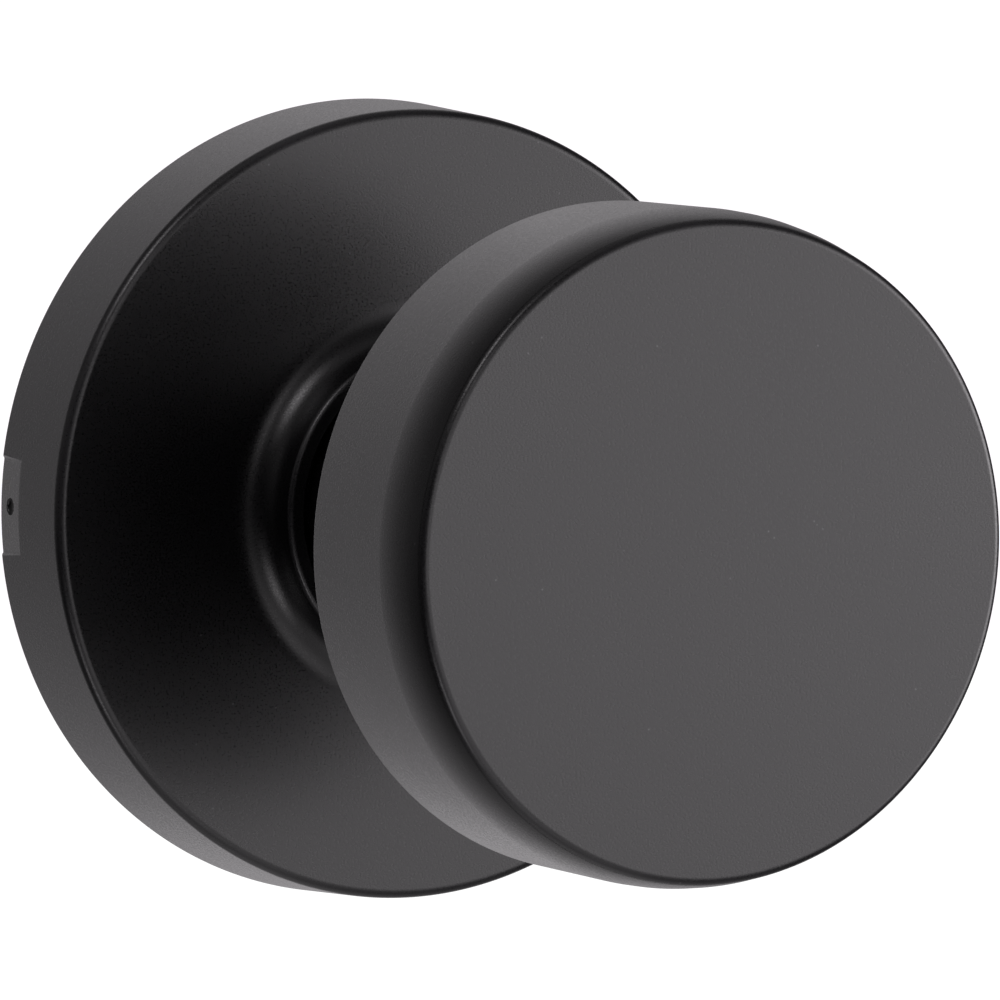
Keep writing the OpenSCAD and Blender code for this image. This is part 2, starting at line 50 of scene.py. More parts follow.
slotOf = {part["node"]: part["material_slot"] for part in frame["record"]["subparts"]}
bodyOf = {node: body for body, nodes in frame["record"]["behaviour"]["bodies"].items() for node in nodes}


# the knob's axis runs along -Y; "out" is the distance from the door along it, in millimetres
def outSpan(node):
    low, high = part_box(node)
    return -high.y / mm, -low.y / mm


def outerRadius(node):
    low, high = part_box(node)
    return max(high.x, high.z, -low.z) / mm


def newMaterial(name, colour, roughness, metallic=0.0, specular=0.5):
    material = bpy.data.materials.new(name)
    material.use_nodes = True
    material.diffuse_color = (*colour, 1)
    shader = material.node_tree.nodes["Principled BSDF"]
    shader.inputs["Base Color"].default_value = (*colour, 1)
    shader.inputs["Roughness"].default_value = roughness
    shader.inputs["Metallic"].default_value = metallic
    shader.inputs["Specular IOR Level"].default_value = specular
    return material, material.node_tree, shader


def addNode(tree, kind, **settings):
    node = tree.nodes.new(kind)
    for key, value in settings.items():
        if key in node.inputs:
            node.inputs[key].default_value = value
        else:
            setattr(node, key, value)
    return node


def noiseAt(tree, scale, detail=3.0, stretch=(1, 1, 1)):
    where = addNode(tree, "ShaderNodeTexCoord")
    mapping = addNode(tree, "ShaderNodeMapping")
    mapping.inputs["Scale"].default_value = stretch
    noise = addNode(tree, "ShaderNodeTexNoise", Scale=scale, Detail=detail)
    tree.links.new(where.outputs["Object"], mapping.inputs["Vector"])
    tree.links.new(mapping.outputs["Vector"], noise.inputs["Vector"])
    return noise.outputs["Fac"]


def ramp(tree, value, stops):
    node = addNode(tree, "ShaderNodeMapRange")
    tree.links.new(value, node.inputs["Value"])
    for key, number in zip(("From Min", "From Max", "To Min", "To Max"), stops):
        node.inputs[key].default_value = number
    return node.outputs["Result"]


def mixColour(tree, amount, first, second):
    node = addNode(tree, "ShaderNodeMix", data_type="RGBA")
    for slot, value in ((6, first), (7, second)):
        if isinstance(value, tuple):
            node.inputs[slot].default_value = (*value, 1)
        else:
            tree.links.new(value, node.inputs[slot])
    tree.links.new(amount, node.inputs[0])
    return node.outputs[2]


def bump(tree, shader, height, distance, strength=1.0):
    node = addNode(tree, "ShaderNodeBump", Strength=strength, Distance=distance)
    tree.links.new(height, node.inputs["Height"])
    tree.links.new(node.outputs["Normal"], shader.inputs["Normal"])


# roughness that sways a little with a fine noise and less with a cloudy one
def unevenRoughness(tree, shader, look, fine, cloud):
    rough = addNode(tree, "ShaderNodeMath", operation="ADD")
    sway = (look["rough"] - look["grainSway"], look["rough"] + look["grainSway"])
    tree.links.new(ramp(tree, fine, (0.3, 0.7, *sway)), rough.inputs[0])
    tree.links.new(ramp(tree, cloud, (0.3, 0.7, -look["cloudSway"], look["cloudSway"])), rough.inputs[1])
    tree.links.new(rough.outputs[0], shader.inputs["Roughness"])


# matte black coating: a fine grain, a few dust specks, and rounded outer edges lightened in patches as a
# painted highlight
def coatedBlack():
    coat = {"base": (0.0031, 0.0030, 0.0035), "paintedEdgeHighlight": (0.026, 0.025, 0.027), "dust": (0.11, 0.11, 0.115),
            "rough": 0.30, "grainSway": 0.05, "cloudSway": 0.015, "grain": 5200, "grainDepth": 0.009,
            "grainStrength": 0.8, "cloud": 60, "specks": 900, "speckSize": 0.10, "patches": 420}
    material, tree, shader = newMaterial("coatedBlack", coat["base"], coat["rough"])
    grain = noiseAt(tree, coat["grain"], 2)
    cloud = noiseAt(tree, coat["cloud"], 4)
    edge = addNode(tree, "ShaderNodeAttribute", attribute_name="edge").outputs["Fac"]
    # painted highlight: the edge attribute, broken up by the cloudy noise, mixes a lighter colour into the
    # coating along rounded outer edges
    paintedHighlightMask = addNode(tree, "ShaderNodeMath", operation="MULTIPLY")
    tree.links.new(edge, paintedHighlightMask.inputs[0])
    tree.links.new(ramp(tree, cloud, (0.35, 0.7, 0.1, 0.7)), paintedHighlightMask.inputs[1])
    where = addNode(tree, "ShaderNodeTexCoord")
    cells = addNode(tree, "ShaderNodeTexVoronoi", Scale=coat["specks"])
    tree.links.new(where.outputs["Object"], cells.inputs["Vector"])
    speck = ramp(tree, cells.outputs["Distance"], (0.0, coat["speckSize"], 1.0, 0.0))
    patchy = ramp(tree, noiseAt(tree, coat["patches"], 1), (0.60, 0.66, 0.0, 1.0))
    dust = addNode(tree, "ShaderNodeMath", operation="MULTIPLY")
    tree.links.new(speck, dust.inputs[0])
    tree.links.new(patchy, dust.inputs[1])
    paintedEdgeHighlight = mixColour(tree, paintedHighlightMask.outputs[0], coat["base"], coat["paintedEdgeHighlight"])
    tree.links.new(mixColour(tree, dust.outputs[0], paintedEdgeHighlight, coat["dust"]), shader.inputs["Base Color"])
    unevenRoughness(tree, shader, coat, grain, cloud)
    bump(tree, shader, grain, coat["grainDepth"] * mm, coat["grainStrength"])
    return material


allMetals = {"grainSway": 0.07, "cloudSway": 0.04, "cloud": 90, "grainStrength": 0.5}


def metalFinish(name, metal):
    material, tree, shader = newMaterial(name, metal["base"], metal["rough"], 1.0)
    fine = noiseAt(tree, metal["grain"], 3, metal["stretch"])
    cloud = noiseAt(tree, allMetals["cloud"], 4)
    tree.links.new(mixColour(tree, ramp(tree, cloud, (0.3, 0.7, 0, 1)), metal["base"], metal["tint"]),
                   shader.inputs["Base Color"])
    unevenRoughness(tree, shader, {**allMetals, **metal}, fine, cloud)
    bump(tree, shader, fine, metal["depth"] * mm, allMetals["grainStrength"])
    return material


def nylonFinish():
    nylon = {"base": (0.72, 0.70, 0.62), "deep": (0.62, 0.59, 0.50), "rough": 0.48, "glow": 0.1,
             "glowDepth": 0.5, "cloud": 150, "grain": 3000, "grainDepth": 0.006, "grainStrength": 0.4}
    material, tree, shader = newMaterial("naturalNylon", nylon["base"], nylon["rough"])
    shader.inputs["Subsurface Weight"].default_value = nylon["glow"]
    shader.inputs["Subsurface Scale"].default_value = nylon["glowDepth"] * mm
    cloud = noiseAt(tree, nylon["cloud"], 3)
    tree.links.new(mixColour(tree, cloud, nylon["base"], nylon["deep"]), shader.inputs["Base Color"])
    bump(tree, shader, noiseAt(tree, nylon["grain"], 2), nylon["grainDepth"] * mm, nylon["grainStrength"])
    return material


black = coatedBlack()
plated = metalFinish("platedSteel", {"base": (0.60, 0.60, 0.58), "tint": (0.52, 0.54, 0.57), "rough": 0.34,
                                     "grain": 1400, "stretch": (1, 0.25, 1), "depth": 0.006})
drawn = metalFinish("drawnSpringSteel", {"base": (0.46, 0.46, 0.47), "tint": (0.38, 0.38, 0.40),
                                         "rough": 0.28, "grain": 2200, "stretch": (1, 1, 1), "depth": 0.003})
castZinc = metalFinish("castZinc", {"base": (0.50, 0.50, 0.49), "tint": (0.42, 0.41, 0.39), "rough": 0.52,
                                    "grain": 900, "stretch": (1, 1, 1), "depth": 0.02})
bronze = metalFinish("sinteredBronze", {"base": (0.56, 0.37, 0.19), "tint": (0.44, 0.28, 0.14), "rough": 0.46,
                                        "grain": 2600, "stretch": (1, 1, 1), "depth": 0.012})
nylon = nylonFinish()
finishOf = {"black_finish": black, "plated_steel": plated, "spring_steel": drawn, "cast_zinc": castZinc,
            "white_nylon": nylon, "sintered_bronze": bronze}
print("finishes made")


# Outline with rounded corners. Each corner is (radius from the axis, out, rounding). The arc at a corner
# touches both edges at rounding * tan(half the turn) from it, and a straight edge gets a ring just inside
# each end so that the shading stays flat on it. Returns the points and how strongly each is an outer edge.
def roundedOutline(corners, degreesPerStep=9.0):
    points, edges = [], []
    count, nearCorner = len(corners), 0.03
    for i in range(count):
        here = np.array(corners[i][:2], float)
        before = np.array(corners[i - 1][:2], float) - here
        after = np.array(corners[(i + 1) % count][:2], float) - here
        before /= np.linalg.norm(before)
        after /= np.linalg.norm(after)
        rounding = corners[i][2] if len(corners[i]) > 2 else 0
        turn = math.pi - math.acos(np.clip(before @ after, -1, 1))
        convex = (before[0] * after[1] - before[1] * after[0]) < 0
        if rounding <= 0:
            points += [here + before * nearCorner, here, here + after * nearCorner]
            edges += [0, 0, 0]
            continue
        reach = rounding * math.tan(turn / 2)
        middle = (before + after) / np.linalg.norm(before + after) * rounding / math.cos(turn / 2)
        centre = here + middle
        start = here + before * reach - centre
        steps = max(3, int(math.ceil(math.degrees(turn) / degreesPerStep)))
        angles = (1 if convex else -1) * np.linspace(0, turn, steps + 1)
        spun = np.stack([start[0] * np.cos(angles) - start[1] * np.sin(angles),
                         start[0] * np.sin(angles) + start[1] * np.cos(angles)], 1) + centre
        lead = min(0.05, rounding * 0.2)
        arcPoints = [here + before * (reach + lead), *spun, here + after * (reach + lead)]
        sharpness = (1.0 if convex else 0.0) * min(1.0, 1.2 / rounding)
        points += arcPoints
        edges += [0] + [sharpness * math.sin(math.pi * k / steps) for k in range(steps + 1)] + [0]
    return np.array(points), np.array(edges)


# A piece's mesh with its modifiers applied
def appliedMesh(piece):
    bpy.context.view_layer.update()
    return bpy.data.meshes.new_from_object(piece.evaluated_get(bpy.context.evaluated_depsgraph_get()))


def meshPiece(name, vertices, faces, material, body, edge=None, sharpAt=38):
    mesh = bpy.data.meshes.new(name)
    mesh.from_pydata(np.asarray(vertices).tolist(), [], [tuple(f) for f in np.asarray(faces).tolist()])
    if edge is not None:
        mesh.attributes.new("edge", "FLOAT", "POINT").data.foreach_set("value", np.asarray(edge, np.float32))
    work = bmesh.new()
    work.from_mesh(mesh)
    bmesh.ops.remove_doubles(work, verts=work.verts, dist=1e-7)
    bmesh.ops.recalc_face_normals(work, faces=work.faces)
    work.to_mesh(mesh)
    work.free()
    mesh.shade_smooth()
    mesh.set_sharp_from_angle(angle=math.radians(sharpAt))
    mesh.materials.append(material)
    piece = bpy.data.objects.new(name, mesh)
    bpy.context.scene.collection.objects.link(piece)
    if body:
        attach(piece, body)
    return piece


# Grid of faces between rings, joined round in both directions where asked
def gridFaces(rows, columns, closeRows=True, closeColumns=True):
    i = np.arange(rows if closeRows else rows - 1)[:, None]
    j = np.arange(columns if closeColumns else columns - 1)[None, :]
    a = i * columns + j
    b = i * columns + (j + 1) % columns
    c = ((i + 1) % rows) * columns + (j + 1) % columns
    d = ((i + 1) % rows) * columns + j
    return np.stack([a, b, c, d], -1).reshape(-1, 4)


# Closed outline turned about the knob's axis: point (r, out) at angle t goes to (r cos t, -out, r sin t)
def turnedGrid(outline, around, cx=0.0, cz=0.0, bend=None):
    t = np.arange(around) * 2 * np.pi / around
    r = outline[:, 0][:, None] + 0 * t[None, :]
    out = outline[:, 1][:, None] + 0 * t[None, :]
    t = t[None, :] + 0 * r
    if bend is not None:
        r, out = bend(r, out, t)
    return np.stack([cx + r * np.cos(t), -out, cz + r * np.sin(t)], -1).reshape(-1, 3) * mm


def turned(name, corners, node, around=192, centres=((0.0, 0.0),), bend=None, sharpAt=38):
    outline, edge = roundedOutline(corners)
    faces = gridFaces(len(outline), around)
    grids = [turnedGrid(outline, around, cx, cz, bend) for cx, cz in centres]
    allFaces = np.concatenate([faces + k * len(grids[0]) for k in range(len(grids))])
    slot = slotOf[node]
    piece = meshPiece(name, np.concatenate(grids), allFaces, finishOf[slot], bodyOf[node],
                      np.tile(np.repeat(edge, around), len(grids)), sharpAt)
    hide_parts(node)
    return piece


# Centres of count copies about the axis, at a radius and from an angle in degrees
def spots(at, count, first):
    turns = np.radians(first) + 2 * np.pi * np.arange(count) / count
    return list(zip(at * np.cos(turns), at * np.sin(turns)))


# A merged copy of a CAD node whose sharp edges are broken by a small bevel.
def softened(name, node, width):
    soften = {"merge": 1e-6, "flat": math.radians(0.5), "sharp": math.radians(40), "steps": 2}
    mesh = frame["nodes"][node].data.copy()
    work = bmesh.new()
    work.from_mesh(mesh)
    bmesh.ops.remove_doubles(work, verts=work.verts, dist=soften["merge"])
    bmesh.ops.dissolve_limit(work, angle_limit=soften["flat"], verts=work.verts, edges=work.edges)
    work.to_mesh(mesh)
    work.free()
    mesh.shade_smooth()
    piece = bpy.data.objects.new(name, mesh)
    bpy.context.scene.collection.objects.link(piece)
    bevel = piece.modifiers.new("brokenEdges", "BEVEL")
    bevel.width, bevel.segments = width * mm, soften["steps"]
    bevel.limit_method, bevel.angle_limit = "ANGLE", soften["sharp"]
    bevel.use_clamp_overlap = False
    flat = piece.modifiers.new("flatFaces", "WEIGHTED_NORMAL")
    flat.weight, flat.keep_sharp = 100, True
    done = appliedMesh(piece)
    piece.modifiers.clear()
    piece.data = done
    done.materials.clear()
    done.materials.append(finishOf[slotOf[node]])
    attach(piece, bodyOf[node])
    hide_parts(node)


# Round wire along a path. At each point two axes across the path's direction carry the section's circle:
# side is the direction crossed with the knob's axis, up is side crossed with the direction.
def wirePiece(name, path, radius, node, sides=14):
    along = np.gradient(path, axis=0)
    along /= np.linalg.norm(along, axis=1)[:, None]
    side = np.cross(along, [0, 1, 0])
    side /= np.linalg.norm(side, axis=1)[:, None]
    up = np.cross(side, along)
    t = np.arange(sides) * 2 * np.pi / sides
    grid = (path[:, None] + radius * (np.cos(t)[None, :, None] * side[:, None]
                                      + np.sin(t)[None, :, None] * up[:, None]))
    piece = meshPiece(name, grid.reshape(-1, 3) * mm, gridFaces(len(path), sides, False, True),
                      finishOf[slotOf[node]], bodyOf[node])
    closeEnds(piece)
    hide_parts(node)


# A solid for cutting, from a grid of points in millimetres
def toolPiece(name, grid, faces):
    return meshPiece(name, grid.reshape(-1, 3) * mm, faces, black, None)


# Takes a tool's solid out of a piece and keeps the result as the piece's own mesh
def cutWith(piece, tool, sharpAt=38):
    cut = piece.modifiers.new("cut", "BOOLEAN")
    cut.operation = "DIFFERENCE"
    cut.solver = "EXACT"
    cut.object = tool
    done = appliedMesh(piece)
    piece.modifiers.remove(cut)
    piece.data = done
    done.shade_smooth()
    done.set_sharp_from_angle(angle=math.radians(sharpAt))
    bpy.data.objects.remove(tool)


# Fills a piece's open ends and turns its faces outwards
def closeEnds(piece):
    work = bmesh.new()
    work.from_mesh(piece.data)
    bmesh.ops.holes_fill(work, edges=[e for e in work.edges if e.is_boundary])
    bmesh.ops.recalc_face_normals(work, faces=work.faces)
    work.to_mesh(piece.data)
    work.free()


def makeDrum():
    low, high = outSpan("knob_shell")
    drum = {"radius": outerRadius("knob_shell"), "wall": 1.2, "lip": 2.2, "lipThick": 0.8, "edge": 0.7,
            "run": 5.0, "turn": 16.0, "rear": 0.3}
    turn = math.radians(drum["turn"])
    softRadius = drum["run"] / math.sin(turn)
    softEnd = high - drum["edge"] + drum["edge"] * math.sin(turn)
    softCorner = softEnd - drum["run"] + softRadius * math.tan(turn / 2)
    faceCorner = drum["radius"] - (high - softCorner) * math.tan(turn)
    inner, lipRadius = drum["radius"] - drum["wall"], drum["radius"] - drum["lip"]
    turned("knobDrum", [
        (0, high - drum["wall"]), (inner, high - drum["wall"], 0.6), (inner, low + drum["lipThick"]),
        (lipRadius, low + drum["lipThick"], 0.15), (lipRadius, low, 0.2),
        (drum["radius"], low, drum["rear"]), (drum["radius"], softCorner, softRadius),
        (faceCorner, high, drum["edge"]), (0, high)], "knob_shell", around=288)


def makeKnobBack():
    low, high = outSpan("knob_back_plate")
    back = {"radius": outerRadius("knob_back_plate"), "hole": outerRadius("knob_shank") + 0.02,
            "groove": 20.6, "grooveWide": 1.1, "grooveDeep": 0.35}
    turned("knobBack", [
        (back["hole"], low, 0.15), (back["groove"] - back["grooveWide"], low, 0.5),
        (back["groove"], low + back["grooveDeep"], 0.5), (back["groove"] + back["grooveWide"], low, 0.5),
        (back["radius"], low), (back["radius"], high), (back["hole"], high)], "knob_back_plate", around=240)


def makeNeck():
    low, high = outSpan("knob_shank")
    neck = {"radius": outerRadius("knob_shank"), "bore": 7.05, "seat": 9.32, "seatLow": 31.8, "chamfer": 0.5}
    piece = turned("neck", [
        (neck["bore"], low, 0.2), (neck["radius"], low, neck["chamfer"]), (neck["radius"], high, 0.1),
        (neck["seat"], high, 0.1), (neck["seat"], neck["seatLow"], 0.1),
        (neck["bore"], neck["seatLow"], 0.1)],
        "knob_shank", around=240)
    # the hole that shows the catch, with its mouth countersunk a little
    hole = {"radius": 1.65, "sink": 2.1, "sinkDeep": 0.35, "from": 6.0, "past": 0.4, "flare": 0.25,
            "around": 48}
    catchLow, catchHigh = outSpan("knob_catch")
    middle = (catchLow + catchHigh) / 2
    below = -neck["radius"] - hole["past"]
    rings = np.array([[0, -hole["from"]], [hole["radius"], -hole["from"]],
                      [hole["radius"], -neck["radius"] + hole["sinkDeep"]],
                      [hole["sink"] + hole["flare"], below], [0, below]])
    t = np.arange(hole["around"]) * 2 * np.pi / hole["around"]
    grid = np.stack([rings[:, :1] * np.cos(t), -middle + rings[:, :1] * np.sin(t),
                     rings[:, 1:] + 0 * t], -1)
    cutWith(piece, toolPiece("holeTool", grid, gridFaces(len(rings), hole["around"], False)))


# Rivets with a domed head on the end away from the door, and on the other end too where nearHead is set
def rivets(name, node, rivet, centres):
    low, high = outSpan(node)
    crown, crownDrop, dome = rivet["head"] * 0.72, 0.06, 0.7
    farHead = [(rivet["body"], high - rivet["tall"]), (rivet["head"], high - rivet["tall"], 0.1),
               (crown, high - crownDrop, dome), (0, high)]
    if rivet["nearHead"]:
        nearHead = [(0, low), (crown, low + crownDrop, dome), (rivet["head"], low + rivet["tall"], 0.1),
                    (rivet["body"], low + rivet["tall"])]
    else:
        nearHead = [(0, low), (rivet["body"], low, 0.1)]
    turned(name, nearHead + farHead, node, around=40, centres=centres)


# How many rivets there are, on what radius and from what angle
rivetCircles = {"shank": (13.65, 4, 45), "cage": (23.325, 3, 45), "clips": (27.825, 3, 30)}

makeDrum()
makeKnobBack()
makeNeck()
rivets("shankRivets", "shank_rivets", {"head": 1.8, "tall": 0.6, "body": 1.0, "nearHead": True},
       spots(*rivetCircles["shank"]))
print("knob made")


# Tool that takes a shallow band out of the rose's side. Its floor is a part of a cylinder, and its ends
# and top slope up to the side, so its outer face is longer and taller than its floor by twice the slope.
def bandTool(name, notch, radius):
    floor, beyond = radius - notch["deep"], radius + notch["deep"]
    half = np.array([0, 1, 1, 0]) * notch["slope"] + notch["wide"] / 2
    share = np.linspace(-1, 1, 25)
    t = notch["at"] + half[:, None] * share / radius
    ring = np.array([[floor, -1.0], [beyond, -1.0],
                     [beyond, notch["tall"] + notch["slope"]], [floor, notch["tall"]]])
    grid = np.stack([ring[:, :1] * np.cos(t), -ring[:, 1:] + 0 * t, ring[:, :1] * np.sin(t)], -1)
    tool = toolPiece(name, grid, gridFaces(len(ring), len(share), True, False))
    closeEnds(tool)
    return tool


# Tool for a round dimple: circles about a spoke of the rose, closing to a point at its rounded floor
def dimpleTool(name, notch, radius):
    floor = radius - notch["deep"] - notch["dimpleDeep"]
    rings = np.array([[0.02, floor], [0.55, floor + 0.02], [0.85, floor + 0.1], [1.0, floor + 0.25],
                      [1.0, radius + 1]])
    t = np.arange(40) * 2 * np.pi / 40
    reach = rings[:, 1:] + 0 * t
    sideways = notch["dimple"] * rings[:, :1] * np.cos(t)
    out = notch["dimpleAt"] + notch["dimple"] * rings[:, :1] * np.sin(t)
    x = reach * math.cos(notch["at"]) - sideways * math.sin(notch["at"])
    z = reach * math.sin(notch["at"]) + sideways * math.cos(notch["at"])
    tool = toolPiece(name, np.stack([x, -out, z], -1), gridFaces(len(rings), len(t), False, True))
    closeEnds(tool)
    return tool


def makeRose():
    low, high = outSpan("rose")
    rose = {"radius": outerRadius("rose"), "taper": 0.6, "thick": 10.0, "wall": 1.0, "edge": 0.8,
            "collar": 13.7, "bore": 12.3, "collarEdge": 0.5, "fillet": 3.3, "inside": 0.4}
    notch = {"at": math.radians(180 - 1.1), "wide": 7.8, "tall": 3.3, "deep": 0.2, "slope": 0.5,
             "dimple": 0.7, "dimpleAt": 1.7, "dimpleDeep": 0.3}
    top = rose["radius"] - rose["taper"]
    inner = top - rose["wall"]
    cover = turned("roseCover", [
        (inner, low, 0.1), (rose["radius"], low, 0.15), (top, rose["thick"], rose["edge"]),
        (rose["collar"], rose["thick"], rose["fillet"] - 0.01), (rose["collar"], high, rose["collarEdge"]),
        (rose["bore"], high, 0.2), (rose["bore"], rose["thick"] - rose["wall"], 0.15),
        (inner, rose["thick"] - rose["wall"], rose["inside"])], "rose", around=360)
    cutWith(cover, bandTool("notchTool", notch, rose["radius"]))
    cutWith(cover, dimpleTool("dimpleTool", notch, rose["radius"]))


# Nylon ring pressed into the rose, with shallow grooves round its bore
def makeInsert():
    low, high = outSpan("rose_insert")
    nylonRing = {"radius": outerRadius("rose_insert"), "wall": 1.18, "ease": 0.2, "groove": 0.15,
                 "grooveAt": 1.2, "grooveMouth": 0.35, "grooveFloor": 0.2}
    bore = nylonRing["radius"] - nylonRing["wall"]
    middle = (low + high) / 2
    grooves = []
    for out in (middle + nylonRing["grooveAt"], middle - nylonRing["grooveAt"]):
        deep, mouth, floor = bore + nylonRing["groove"], nylonRing["grooveMouth"], nylonRing["grooveFloor"]
        grooves += [(bore, out + mouth, 0.1), (deep, out + floor, 0.1), (deep, out - floor, 0.1),
                    (bore, out - mouth, 0.1)]
    turned("roseRing", [
        (bore, low, nylonRing["ease"]), (nylonRing["radius"], low, nylonRing["ease"]),
        (nylonRing["radius"], high, nylonRing["ease"]), (bore, high, nylonRing["ease"]), *grooves],
        "rose_insert", around=240)


makeRose()
makeInsert()
print("rose made")


def makePosts():
    low, high = outSpan("mounting_posts")
    post = {"radius": 3.5, "head": 4.5, "headThick": 0.8, "core": 1.75, "crest": 0.33, "pitch": 0.7,
            "depth": 18.0, "chamfer": 0.4, "apart": 38.1}
    corners = [(post["radius"], low, post["chamfer"]), (post["radius"], high - post["headThick"]),
               (post["head"], high - post["headThick"], 0.1), (post["head"], high, 0.12), (0, high),
               (0, low + post["depth"] + 1.0), (post["core"], low + post["depth"])]
    outline, edge = roundedOutline(corners)
    threadOut = np.arange(low + post["depth"], low + 0.25, -post["pitch"] / 6)
    thread = np.stack([post["core"] + 0 * threadOut, threadOut], 1)
    mouth = np.array([[post["core"] + 0.35, low + 0.1], [post["core"] + 0.5, low]])
    outline = np.concatenate([outline, thread, mouth])
    edge = np.concatenate([edge, 0 * threadOut, [0, 0]])
    around = 72

    # inside the bore the wall moves out and in by a triangle wave of (out / pitch - turn)
    def threadBend(r, out, t):
        wave = np.abs(((out / post["pitch"] - t / (2 * np.pi)) % 1) * 2 - 1)
        inBore = (np.abs(r - post["core"]) < 0.01) & (out > low + 0.3) & (out < low + post["depth"] - 0.2)
        return r + np.where(inBore, post["crest"] * wave, 0), out

    grids = [turnedGrid(outline, around, side * post["apart"] / 2, 0, threadBend) for side in (-1, 1)]
    faces = gridFaces(len(outline), around)
    piece = meshPiece("posts", np.concatenate(grids), np.concatenate([faces, faces + len(grids[0])]),
                      plated, "chassis", np.tile(np.repeat(edge, around), 2))
    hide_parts("mounting_posts")


def makeTube():
    low, high = outSpan("drive_tube")
    tube = {"radius": 7.0, "inside": 5.6, "groove": 6.3, "spare": 0.02, "chamfer": 0.25,
            "narrow": 6.4, "narrowLength": 9.5}
    ringLow, ringHigh = outSpan("retaining_ring")
    grooveLow, grooveHigh = ringLow - tube["spare"], ringHigh + tube["spare"]
    narrowFrom = high - tube["narrowLength"]
    turned("driveTube", [
        (tube["inside"], low, 0.15), (tube["radius"], low, tube["chamfer"]),
        (tube["radius"], grooveLow), (tube["groove"], grooveLow), (tube["groove"], grooveHigh),
        (tube["radius"], grooveHigh), (tube["radius"], narrowFrom), (tube["narrow"], narrowFrom),
        (tube["narrow"], high, 0.3), (tube["inside"], high, 0.15)], "drive_tube", around=120)


def makeBushes():
    low, high = outSpan("hub_bush")
    hub = {"bore": 7.05, "body": 8.5, "flange": outerRadius("hub_bush"), "flangeThick": 0.6, "ease": 0.15}
    turned("hubBush", [
        (hub["bore"], low, hub["ease"]), (hub["body"], low, hub["ease"]),
        (hub["body"], high - hub["flangeThick"]),
        (hub["flange"], high - hub["flangeThick"], hub["ease"]), (hub["flange"], high, hub["ease"]),
        (hub["bore"], high, hub["ease"])], "hub_bush", around=120)
    low, high = outSpan("front_bush")
    flange = outerRadius("front_bush")
    turned("frontBush", [
        (hub["bore"], low, hub["ease"]), (flange, low, hub["ease"]), (flange, low + hub["flangeThick"], 0.1),
        (hub["body"], low + hub["flangeThick"]), (hub["body"], high, hub["ease"]),
        (hub["bore"], high, hub["ease"])],
        "front_bush", around=120)


# The wave washer's height over the turn t is wave * (1 - cos(3 t)) / 2 towards the spindle's end
def makeWashers():
    washer = {"bore": 7.05, "radius": outerRadius("thrust_washer") - 0.02, "ease": 0.12}
    low, high = outSpan("thrust_washer")
    turned("thrustWasher", [(washer["bore"], low, 0.08), (washer["radius"], low, washer["ease"]),
                            (washer["radius"], high, washer["ease"]), (washer["bore"], high, 0.08)],
           "thrust_washer", around=120)
    low, high = outSpan("wave_washer")
    waved = {"radius": outerRadius("wave_washer"), "thick": 0.25, "height": 0.4, "count": 3}

    def wave(r, out, t):
        return r, out - waved["height"] * (1 - np.cos(waved["count"] * t)) / 2

    turned("waveWasher", [
        (washer["bore"], high - waved["thick"], 0.06), (waved["radius"], high - waved["thick"], 0.06),
        (waved["radius"], high, 0.06), (washer["bore"], high, 0.06)], "wave_washer", around=144, bend=wave)


# Snap ring: a rounded section carried along an arc that leaves the mouth open
def makeSnapRing():
    low, high = outSpan("retaining_ring")
    ring = {"bore": 6.32, "radius": 8.4, "ease": 0.18, "mouth": 70.0, "mouthAt": -90.0}
    outline, edge = roundedOutline([(ring["bore"], low, ring["ease"]), (ring["radius"], low, ring["ease"]),
                                    (ring["radius"], high, ring["ease"]), (ring["bore"], high, ring["ease"])])
    t = np.radians(ring["mouthAt"] + np.linspace(ring["mouth"] / 2, 360 - ring["mouth"] / 2, 97))
    r, out = outline[:, :1], outline[:, 1:]
    grid = np.stack([r * np.cos(t), -out + 0 * t, r * np.sin(t)], -1)
    piece = meshPiece("snapRing", grid.reshape(-1, 3) * mm, gridFaces(len(outline), len(t), True, False),
                      plated, "knob", np.repeat(edge, len(t)))
    closeEnds(piece)
    piece.data.set_sharp_from_angle(angle=math.radians(38))
    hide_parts("retaining_ring")


def makeCage():
    low, high = outSpan("spring_cage")
    cage = {"flange": outerRadius("spring_cage"), "radius": 20.5, "sheet": 1.0, "bore": 8.52, "ease": 0.12}
    inner = cage["radius"] - cage["sheet"]
    turned("springCage", [
        (inner, low, 0.4), (cage["flange"], low, cage["ease"]),
        (cage["flange"], low + cage["sheet"], cage["ease"]), (cage["radius"], low + cage["sheet"], 0.5),
        (cage["radius"], high, 1.1), (cage["bore"], high, cage["ease"]),
        (cage["bore"], high - cage["sheet"], cage["ease"]), (inner, high - cage["sheet"], 0.4)],
        "spring_cage", around=240)


# Return spring: both legs point in to the hub and a helix joins them, rising by a constant pitch
def makeReturnSpring():
    low, high = outSpan("return_spring")
    spring = {"wire": 0.7, "coil": outerRadius("return_spring") - 0.7, "turns": 2, "legX": 2.85,
              "legEnd": 10.2, "turnIn": 8.0}
    lean = math.degrees(math.asin(spring["legX"] / spring["coil"]))
    first, last = 90 + lean + spring["turnIn"], 90 - lean - spring["turnIn"] + 360 * spring["turns"]
    a = np.radians(np.linspace(first, last, 145))
    near, far = low + spring["wire"], high - spring["wire"]
    coil = np.stack([spring["coil"] * np.cos(a), -np.linspace(near, far, len(a)),
                     spring["coil"] * np.sin(a)], 1)
    cornerZ = spring["coil"] * math.cos(math.radians(lean))
    t = np.linspace(0, 1, 10)[:, None]

    # leg from the hub to the coil, turned by a quadratic curve that leans on the corner
    def leg(x, out, join):
        foot = np.array([x, -out, spring["legEnd"]])
        start = np.array([x, -out, cornerZ - 2])
        corner = np.array([x, -out, cornerZ])
        curve = (1 - t) ** 2 * start + 2 * t * (1 - t) * corner + t ** 2 * join
        return np.vstack([foot, (foot + start) / 2, curve])

    path = np.vstack([leg(-spring["legX"], near, coil[0]), coil[1:-1],
                      leg(spring["legX"], far, coil[-1])[::-1]])
    wirePiece("returnSpring", path, spring["wire"], "return_spring")


